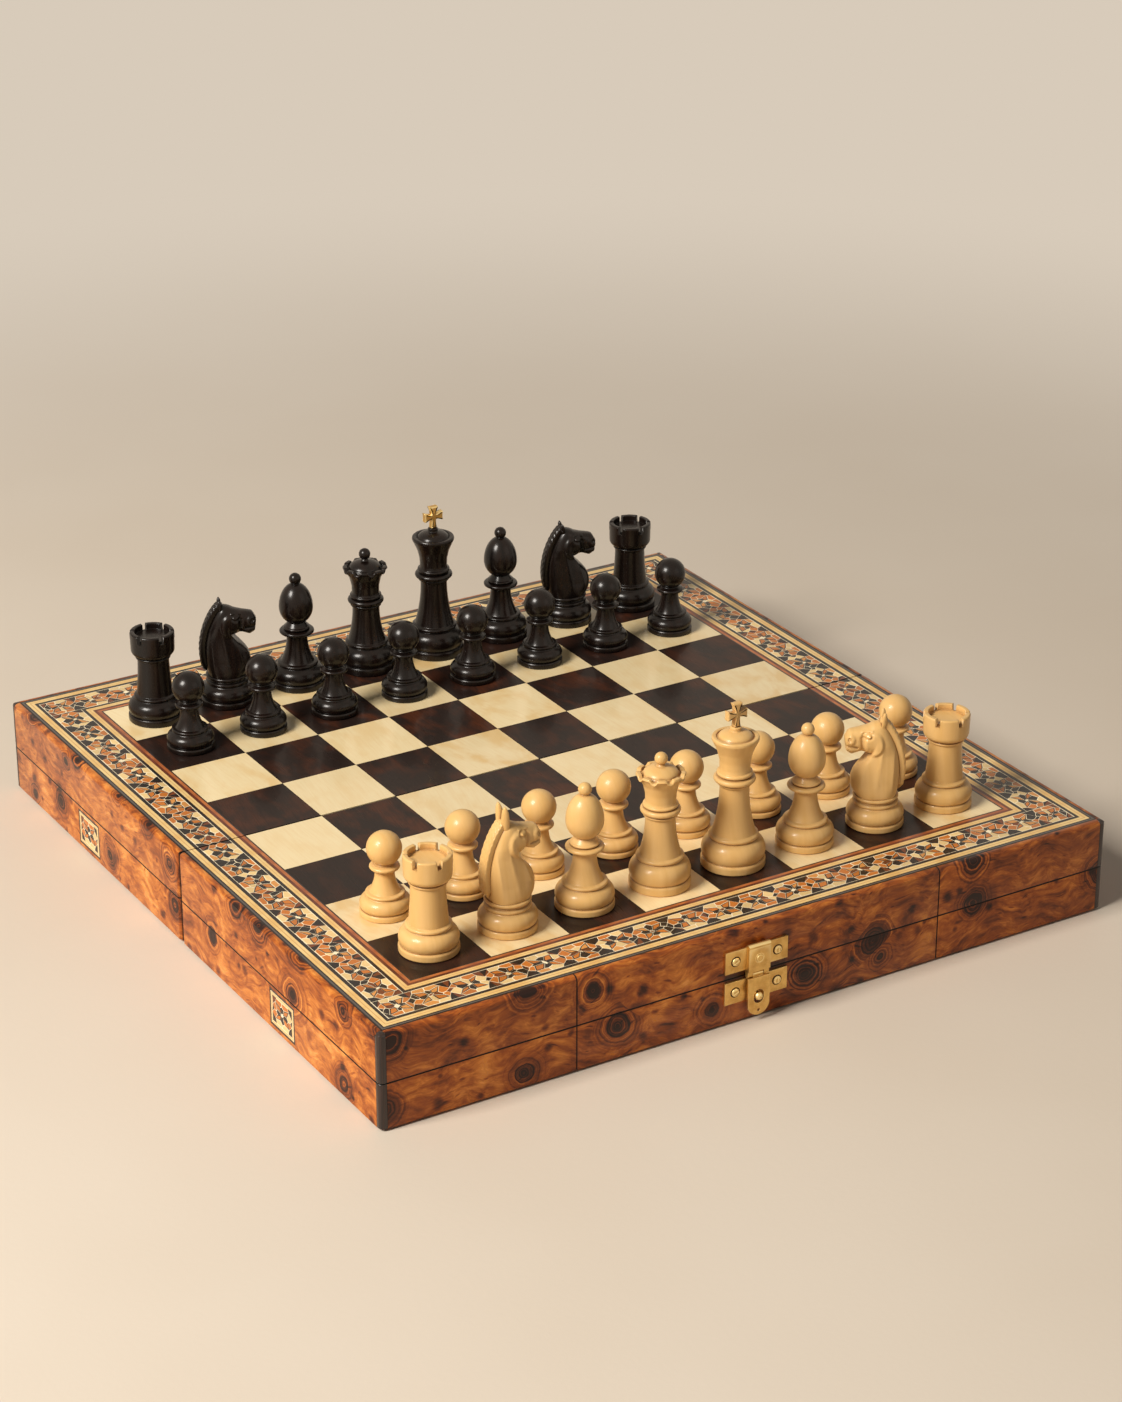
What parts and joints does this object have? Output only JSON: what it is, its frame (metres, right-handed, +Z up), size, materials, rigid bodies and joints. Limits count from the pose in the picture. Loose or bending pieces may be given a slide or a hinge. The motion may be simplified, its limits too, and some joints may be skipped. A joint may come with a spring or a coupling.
{
  "type": "chess box with hinged lid",
  "caption": "Shallow square wooden case with a rear-hinged lid that carries an inlaid chessboard, a brass front hasp, and a full set of turned and carved men standing on it.",
  "frame": {"origin": "centre of the case on the plane it stands on, under the felt feet", "axes": "+X along the front to the right, +Y towards the hinges at the rear, +Z up"},
  "size_m": [0.39, 0.4008, 0.1286],
  "materials": {
    "burr_veneer": "glossy lacquer over burr veneer with dark eyes",
    "panel_wood": "stained plain wood, satin",
    "baize": "woven wool baize",
    "felt": "pressed felt",
    "ebony_strip": "lacquered ebony strip",
    "mosaic_inlay": "micro mosaic of pale, orange and black woods under lacquer",
    "maple": "lacquered pale veneer",
    "maple_line": "lacquered pale stringing",
    "ebonised_square": "lacquered near-black veneer with red-brown figure",
    "ebony_line": "lacquered black stringing",
    "red_line": "lacquered red and orange stringing",
    "brass": "brushed and worn brass",
    "boxwood": "satin boxwood, turned and carved",
    "ebony_men": "polished ebony, turned and carved"
  },
  "bodies": {
    "tray": {"tray_frame_front": "burr_veneer", "tray_frame_rear": "burr_veneer", "tray_floor": "panel_wood", "tray_linings": "baize", "tray_corner_posts": "ebony_strip", "side_medallions": "mosaic_inlay", "feet": "felt", "tray_hinge_leaves": "brass", "hinge_pins": "brass", "tray_screws": "brass", "catch_plate": "brass"},
    "lid": {"lid_frame_front": "burr_veneer", "lid_frame_rear": "burr_veneer", "lid_board": "panel_wood", "lid_linings": "baize", "lid_corner_posts": "ebony_strip", "light_squares": "maple", "dark_squares": "ebonised_square", "mosaic_bands": "mosaic_inlay", "light_stringing": "maple_line", "dark_stringing": "ebony_line", "red_stringing": "red_line", "lid_hinge_leaves": "brass", "lid_screws": "brass", "clasp_plate": "brass", "hasp_pin": "brass"},
    "hasp": {"hasp": "brass"},
    "man_white_king": {"white_king": "boxwood"},
    "man_white_queen": {"white_queen": "boxwood"},
    "man_white_bishop_c": {"white_bishop_c": "boxwood"},
    "man_white_bishop_f": {"white_bishop_f": "boxwood"},
    "man_white_knight_b": {"white_knight_b": "boxwood"},
    "man_white_knight_g": {"white_knight_g": "boxwood"},
    "man_white_rook_a": {"white_rook_a": "boxwood"},
    "man_white_rook_h": {"white_rook_h": "boxwood"},
    "man_white_pawn_a": {"white_pawn_a": "boxwood"},
    "man_white_pawn_b": {"white_pawn_b": "boxwood"},
    "man_white_pawn_c": {"white_pawn_c": "boxwood"},
    "man_white_pawn_d": {"white_pawn_d": "boxwood"},
    "man_white_pawn_e": {"white_pawn_e": "boxwood"},
    "man_white_pawn_f": {"white_pawn_f": "boxwood"},
    "man_white_pawn_g": {"white_pawn_g": "boxwood"},
    "man_white_pawn_h": {"white_pawn_h": "boxwood"},
    "man_black_king": {"black_king": "ebony_men", "black_king_cross": "brass"},
    "man_black_queen": {"black_queen": "ebony_men"},
    "man_black_bishop_c": {"black_bishop_c": "ebony_men"},
    "man_black_bishop_f": {"black_bishop_f": "ebony_men"},
    "man_black_knight_b": {"black_knight_b": "ebony_men"},
    "man_black_knight_g": {"black_knight_g": "ebony_men"},
    "man_black_rook_a": {"black_rook_a": "ebony_men"},
    "man_black_rook_h": {"black_rook_h": "ebony_men"},
    "man_black_pawn_a": {"black_pawn_a": "ebony_men"},
    "man_black_pawn_b": {"black_pawn_b": "ebony_men"},
    "man_black_pawn_c": {"black_pawn_c": "ebony_men"},
    "man_black_pawn_d": {"black_pawn_d": "ebony_men"},
    "man_black_pawn_e": {"black_pawn_e": "ebony_men"},
    "man_black_pawn_f": {"black_pawn_f": "ebony_men"},
    "man_black_pawn_g": {"black_pawn_g": "ebony_men"},
    "man_black_pawn_h": {"black_pawn_h": "ebony_men"}
  },
  "joints": [
    {"name": "lid_hinge", "type": "hinge", "parent": "tray", "child": "lid", "pos_m": [0, 0.198, 0.02325], "axis": [-1, 0, 0], "range_deg": [0, 95]},
    {"name": "clasp_hasp", "type": "hinge", "parent": "lid", "child": "hasp", "pos_m": [-0.004, -0.197, 0.0234], "axis": [-1, 0, 0], "range_deg": [0, 90]},
    {"name": "lift_white_king", "type": "slide", "parent": "lid", "child": "man_white_king", "axis": [0, 0, 1], "range_m": [0, 0.09]},
    {"name": "lift_white_queen", "type": "slide", "parent": "lid", "child": "man_white_queen", "axis": [0, 0, 1], "range_m": [0, 0.09]},
    {"name": "lift_white_bishop_c", "type": "slide", "parent": "lid", "child": "man_white_bishop_c", "axis": [0, 0, 1], "range_m": [0, 0.09]},
    {"name": "lift_white_bishop_f", "type": "slide", "parent": "lid", "child": "man_white_bishop_f", "axis": [0, 0, 1], "range_m": [0, 0.09]},
    {"name": "lift_white_knight_b", "type": "slide", "parent": "lid", "child": "man_white_knight_b", "axis": [0, 0, 1], "range_m": [0, 0.09]},
    {"name": "lift_white_knight_g", "type": "slide", "parent": "lid", "child": "man_white_knight_g", "axis": [0, 0, 1], "range_m": [0, 0.09]},
    {"name": "lift_white_rook_a", "type": "slide", "parent": "lid", "child": "man_white_rook_a", "axis": [0, 0, 1], "range_m": [0, 0.09]},
    {"name": "lift_white_rook_h", "type": "slide", "parent": "lid", "child": "man_white_rook_h", "axis": [0, 0, 1], "range_m": [0, 0.09]},
    {"name": "lift_white_pawn_a", "type": "slide", "parent": "lid", "child": "man_white_pawn_a", "axis": [0, 0, 1], "range_m": [0, 0.09]},
    {"name": "lift_white_pawn_b", "type": "slide", "parent": "lid", "child": "man_white_pawn_b", "axis": [0, 0, 1], "range_m": [0, 0.09]},
    {"name": "lift_white_pawn_c", "type": "slide", "parent": "lid", "child": "man_white_pawn_c", "axis": [0, 0, 1], "range_m": [0, 0.09]},
    {"name": "lift_white_pawn_d", "type": "slide", "parent": "lid", "child": "man_white_pawn_d", "axis": [0, 0, 1], "range_m": [0, 0.09]},
    {"name": "lift_white_pawn_e", "type": "slide", "parent": "lid", "child": "man_white_pawn_e", "axis": [0, 0, 1], "range_m": [0, 0.09]},
    {"name": "lift_white_pawn_f", "type": "slide", "parent": "lid", "child": "man_white_pawn_f", "axis": [0, 0, 1], "range_m": [0, 0.09]},
    {"name": "lift_white_pawn_g", "type": "slide", "parent": "lid", "child": "man_white_pawn_g", "axis": [0, 0, 1], "range_m": [0, 0.09]},
    {"name": "lift_white_pawn_h", "type": "slide", "parent": "lid", "child": "man_white_pawn_h", "axis": [0, 0, 1], "range_m": [0, 0.09]},
    {"name": "lift_black_king", "type": "slide", "parent": "lid", "child": "man_black_king", "axis": [0, 0, 1], "range_m": [0, 0.09]},
    {"name": "lift_black_queen", "type": "slide", "parent": "lid", "child": "man_black_queen", "axis": [0, 0, 1], "range_m": [0, 0.09]},
    {"name": "lift_black_bishop_c", "type": "slide", "parent": "lid", "child": "man_black_bishop_c", "axis": [0, 0, 1], "range_m": [0, 0.09]},
    {"name": "lift_black_bishop_f", "type": "slide", "parent": "lid", "child": "man_black_bishop_f", "axis": [0, 0, 1], "range_m": [0, 0.09]},
    {"name": "lift_black_knight_b", "type": "slide", "parent": "lid", "child": "man_black_knight_b", "axis": [0, 0, 1], "range_m": [0, 0.09]},
    {"name": "lift_black_knight_g", "type": "slide", "parent": "lid", "child": "man_black_knight_g", "axis": [0, 0, 1], "range_m": [0, 0.09]},
    {"name": "lift_black_rook_a", "type": "slide", "parent": "lid", "child": "man_black_rook_a", "axis": [0, 0, 1], "range_m": [0, 0.09]},
    {"name": "lift_black_rook_h", "type": "slide", "parent": "lid", "child": "man_black_rook_h", "axis": [0, 0, 1], "range_m": [0, 0.09]},
    {"name": "lift_black_pawn_a", "type": "slide", "parent": "lid", "child": "man_black_pawn_a", "axis": [0, 0, 1], "range_m": [0, 0.09]},
    {"name": "lift_black_pawn_b", "type": "slide", "parent": "lid", "child": "man_black_pawn_b", "axis": [0, 0, 1], "range_m": [0, 0.09]},
    {"name": "lift_black_pawn_c", "type": "slide", "parent": "lid", "child": "man_black_pawn_c", "axis": [0, 0, 1], "range_m": [0, 0.09]},
    {"name": "lift_black_pawn_d", "type": "slide", "parent": "lid", "child": "man_black_pawn_d", "axis": [0, 0, 1], "range_m": [0, 0.09]},
    {"name": "lift_black_pawn_e", "type": "slide", "parent": "lid", "child": "man_black_pawn_e", "axis": [0, 0, 1], "range_m": [0, 0.09]},
    {"name": "lift_black_pawn_f", "type": "slide", "parent": "lid", "child": "man_black_pawn_f", "axis": [0, 0, 1], "range_m": [0, 0.09]},
    {"name": "lift_black_pawn_g", "type": "slide", "parent": "lid", "child": "man_black_pawn_g", "axis": [0, 0, 1], "range_m": [0, 0.09]},
    {"name": "lift_black_pawn_h", "type": "slide", "parent": "lid", "child": "man_black_pawn_h", "axis": [0, 0, 1], "range_m": [0, 0.09]}
  ]
}
